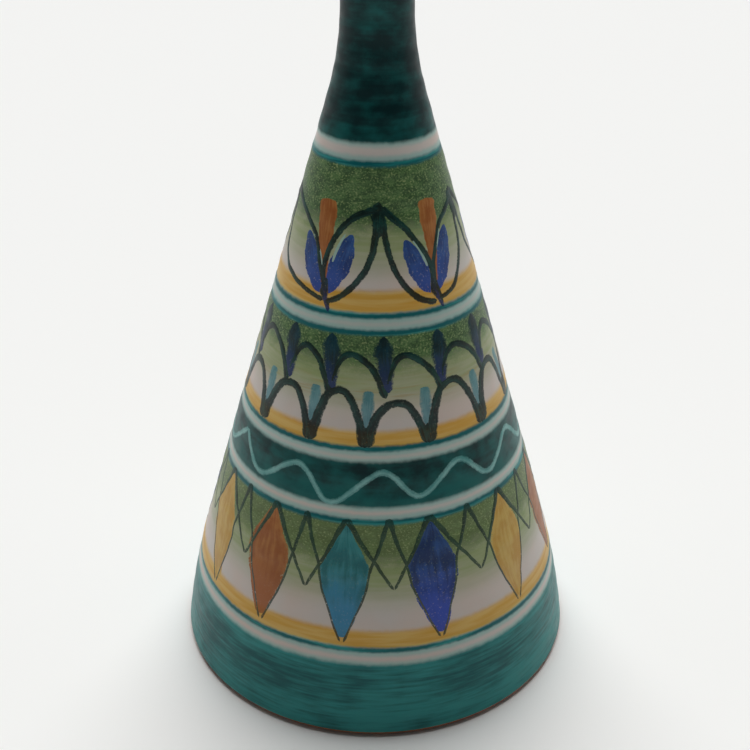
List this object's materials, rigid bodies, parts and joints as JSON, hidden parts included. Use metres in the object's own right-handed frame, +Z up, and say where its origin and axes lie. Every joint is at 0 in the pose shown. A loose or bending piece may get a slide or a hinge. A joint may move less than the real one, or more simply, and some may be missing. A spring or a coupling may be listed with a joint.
{
  "type": "bottle vase",
  "caption": "Tall conical bottle vase of tin-glazed earthenware with a narrow flared neck, painted in banded rings of leaves, arches, a wave and diamonds.",
  "frame": {"origin": "centre of the foot's standing face, on the table", "axes": "+Z up the vase's axis through the mouth; -Y is the side shown to the viewer"},
  "size_m": [0.1638, 0.1638, 0.2902],
  "materials": {
    "terracotta_clay": "matte",
    "clay_slip": "matte",
    "white_tin_glaze": "satin",
    "lining_glaze": "gloss",
    "dark_green_glaze": "satin",
    "foot_green_glaze": "satin",
    "teal_glaze": "satin",
    "yellow_glaze": "satin",
    "sponged_green_glaze": "satin",
    "outline_green_glaze": "satin",
    "cobalt_glaze": "satin",
    "turquoise_glaze": "satin",
    "orange_glaze": "satin",
    "pale_aqua_glaze": "satin"
  },
  "bodies": {
    "root": {"foot_ring": "terracotta_clay", "floor_slab": "terracotta_clay", "body_wall": "terracotta_clay", "seam_coil": "terracotta_clay", "slip_joint": "clay_slip", "neck": "terracotta_clay", "lip_ring": "terracotta_clay", "outside_glaze": "white_tin_glaze", "lining_glaze": "lining_glaze", "foot_green_coat": "foot_green_glaze", "wave_green_coat": "dark_green_glaze", "neck_green_coat": "dark_green_glaze", "teal_lines": "teal_glaze", "yellow_bands": "yellow_glaze", "sponged_green_fields": "sponged_green_glaze"}
  },
  "joints": []
}
